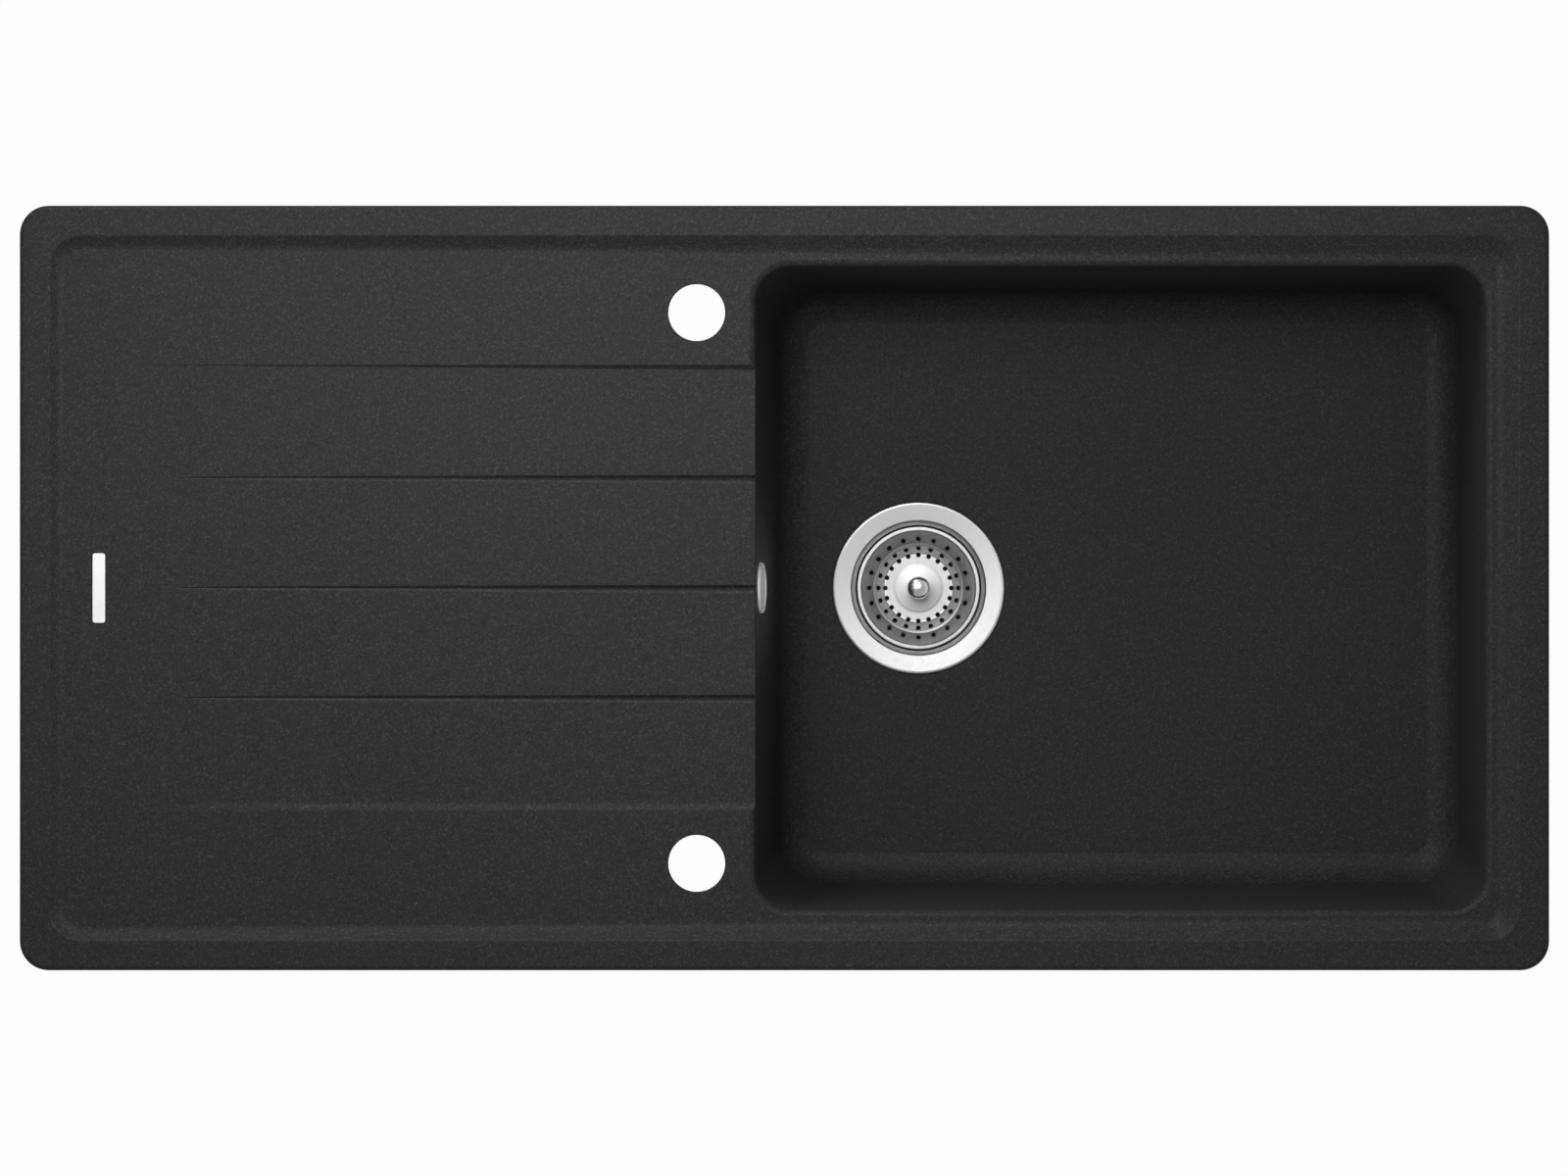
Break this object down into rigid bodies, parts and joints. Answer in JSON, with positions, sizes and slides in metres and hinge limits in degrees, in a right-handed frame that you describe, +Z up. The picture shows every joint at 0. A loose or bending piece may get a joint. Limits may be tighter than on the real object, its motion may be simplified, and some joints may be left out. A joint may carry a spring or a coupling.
{
  "type": "inset kitchen sink with drainer",
  "caption": "Rectangular dark composite inset sink with one deep bowl, a ribbed drainer, a raised rim, tap holes, a strainer waste, an overflow and clamps under the rim.",
  "frame": {"origin": "centre of the rim's outline in the plane of the rim's underside, which is the worktop's surface", "axes": "+X along the length from drainer to bowl, +Y to the back, +Z up out of the worktop"},
  "size_m": [1, 0.5, 0.308],
  "materials": {
    "granite": "fine satin grain",
    "steel": "brushed stainless",
    "chrome": "polished",
    "zinc": "zinc plated",
    "brass": "turned",
    "plastic": "moulded, satin",
    "rubber": "matt"
  },
  "bodies": {
    "sink": {"granite_body": "granite", "trim_plate": "steel", "rim_seal": "rubber", "waste_flange": "steel", "flange_seal": "rubber", "lower_seal": "rubber", "waste_body": "plastic", "waste_screw": "steel", "waste_insert": "brass", "overflow_ring": "chrome", "overflow_cap": "chrome", "overflow_front_seal": "rubber", "overflow_rear_seal": "rubber", "overflow_elbow": "plastic", "upper_pipe_nut": "plastic", "upper_pipe_seal": "rubber", "overflow_pipe": "plastic", "lower_pipe_nut": "plastic", "lower_pipe_seal": "rubber", "clamp_inserts": "brass"},
    "plug": {"basket_plug": "rubber"},
    "basket": {"basket_cup": "steel", "basket_knob": "chrome", "basket_stem": "steel", "plug_washer": "steel", "stem_nut": "steel"},
    "screw_1": {"clamp_screw_1": "zinc"},
    "jaw_1": {"clamp_jaw_1": "zinc"},
    "screw_2": {"clamp_screw_2": "zinc"},
    "jaw_2": {"clamp_jaw_2": "zinc"},
    "screw_3": {"clamp_screw_3": "zinc"},
    "jaw_3": {"clamp_jaw_3": "zinc"},
    "screw_4": {"clamp_screw_4": "zinc"},
    "jaw_4": {"clamp_jaw_4": "zinc"},
    "screw_5": {"clamp_screw_5": "zinc"},
    "jaw_5": {"clamp_jaw_5": "zinc"},
    "screw_6": {"clamp_screw_6": "zinc"},
    "jaw_6": {"clamp_jaw_6": "zinc"},
    "screw_7": {"clamp_screw_7": "zinc"},
    "jaw_7": {"clamp_jaw_7": "zinc"},
    "screw_8": {"clamp_screw_8": "zinc"},
    "jaw_8": {"clamp_jaw_8": "zinc"}
  },
  "joints": [
    {"name": "basket_lift", "type": "slide", "parent": "sink", "child": "plug", "axis": [0, 0, 1], "range_m": [0, 0.26]},
    {"name": "basket_spin", "type": "hinge", "parent": "plug", "child": "basket", "pos_m": [0.0882, 0, -0.22], "axis": [0, 0, 1], "continuous": true},
    {"name": "clamp_1_tighten", "type": "slide", "parent": "sink", "child": "screw_1", "axis": [0, 0, 1], "range_m": [0, 0.01]},
    {"name": "clamp_1_swing", "type": "hinge", "parent": "screw_1", "child": "jaw_1", "pos_m": [-0.388, 0.2265, -0.045], "axis": [0, 0, 1], "range_deg": [0, 90]},
    {"name": "clamp_2_tighten", "type": "slide", "parent": "sink", "child": "screw_2", "axis": [0, 0, 1], "range_m": [0, 0.01]},
    {"name": "clamp_2_swing", "type": "hinge", "parent": "screw_2", "child": "jaw_2", "pos_m": [0, 0.2265, -0.045], "axis": [0, 0, 1], "range_deg": [0, 90]},
    {"name": "clamp_3_tighten", "type": "slide", "parent": "sink", "child": "screw_3", "axis": [0, 0, 1], "range_m": [0, 0.01]},
    {"name": "clamp_3_swing", "type": "hinge", "parent": "screw_3", "child": "jaw_3", "pos_m": [0.388, 0.2265, -0.045], "axis": [0, 0, 1], "range_deg": [0, 90]},
    {"name": "clamp_4_tighten", "type": "slide", "parent": "sink", "child": "screw_4", "axis": [0, 0, 1], "range_m": [0, 0.01]},
    {"name": "clamp_4_swing", "type": "hinge", "parent": "screw_4", "child": "jaw_4", "pos_m": [-0.388, -0.2265, -0.045], "axis": [0, 0, 1], "range_deg": [0, 90]},
    {"name": "clamp_5_tighten", "type": "slide", "parent": "sink", "child": "screw_5", "axis": [0, 0, 1], "range_m": [0, 0.01]},
    {"name": "clamp_5_swing", "type": "hinge", "parent": "screw_5", "child": "jaw_5", "pos_m": [0, -0.2265, -0.045], "axis": [0, 0, 1], "range_deg": [0, 90]},
    {"name": "clamp_6_tighten", "type": "slide", "parent": "sink", "child": "screw_6", "axis": [0, 0, 1], "range_m": [0, 0.01]},
    {"name": "clamp_6_swing", "type": "hinge", "parent": "screw_6", "child": "jaw_6", "pos_m": [0.388, -0.2265, -0.045], "axis": [0, 0, 1], "range_deg": [0, 90]},
    {"name": "clamp_7_tighten", "type": "slide", "parent": "sink", "child": "screw_7", "axis": [0, 0, 1], "range_m": [0, 0.01]},
    {"name": "clamp_7_swing", "type": "hinge", "parent": "screw_7", "child": "jaw_7", "pos_m": [0.4765, 0, -0.045], "axis": [0, 0, 1], "range_deg": [0, 90]},
    {"name": "clamp_8_tighten", "type": "slide", "parent": "sink", "child": "screw_8", "axis": [0, 0, 1], "range_m": [0, 0.01]},
    {"name": "clamp_8_swing", "type": "hinge", "parent": "screw_8", "child": "jaw_8", "pos_m": [-0.4765, 0, -0.045], "axis": [0, 0, 1], "range_deg": [0, 90]}
  ]
}
